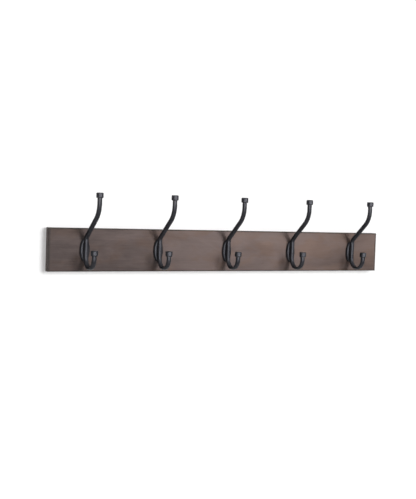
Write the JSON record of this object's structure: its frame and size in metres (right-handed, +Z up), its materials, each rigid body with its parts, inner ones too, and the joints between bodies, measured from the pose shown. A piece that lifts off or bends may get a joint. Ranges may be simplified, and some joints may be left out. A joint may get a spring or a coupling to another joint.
{
  "type": "wall hook rack",
  "caption": "Flat stained wooden wall board with a row of dark metal double coat hooks on oval base plates, hung by keyhole plates on its back.",
  "frame": {"origin": "centre of the board's back face, on the wall plane", "axes": "+X to the right along the board seen from the room, +Y into the wall, +Z up; the hooks reach out along -Y"},
  "size_m": [0.6858, 0.0782, 0.1348],
  "materials": {
    "stained_wood": "satin cocoa-grey stain",
    "hook_metal": "satin black-bronze coating",
    "zinc_steel": "bright zinc plating"
  },
  "bodies": {
    "root": {"board": "stained_wood", "base_plate_1": "hook_metal", "hook_rod_1": "hook_metal", "upper_cap_1": "hook_metal", "lower_cap_1": "hook_metal", "base_plate_2": "hook_metal", "hook_rod_2": "hook_metal", "upper_cap_2": "hook_metal", "lower_cap_2": "hook_metal", "base_plate_3": "hook_metal", "hook_rod_3": "hook_metal", "upper_cap_3": "hook_metal", "lower_cap_3": "hook_metal", "base_plate_4": "hook_metal", "hook_rod_4": "hook_metal", "upper_cap_4": "hook_metal", "lower_cap_4": "hook_metal", "base_plate_5": "hook_metal", "hook_rod_5": "hook_metal", "upper_cap_5": "hook_metal", "lower_cap_5": "hook_metal", "hook_screws": "zinc_steel", "hanger_plate_left": "zinc_steel", "hanger_plate_right": "zinc_steel", "hanger_screws": "zinc_steel"}
  },
  "joints": []
}
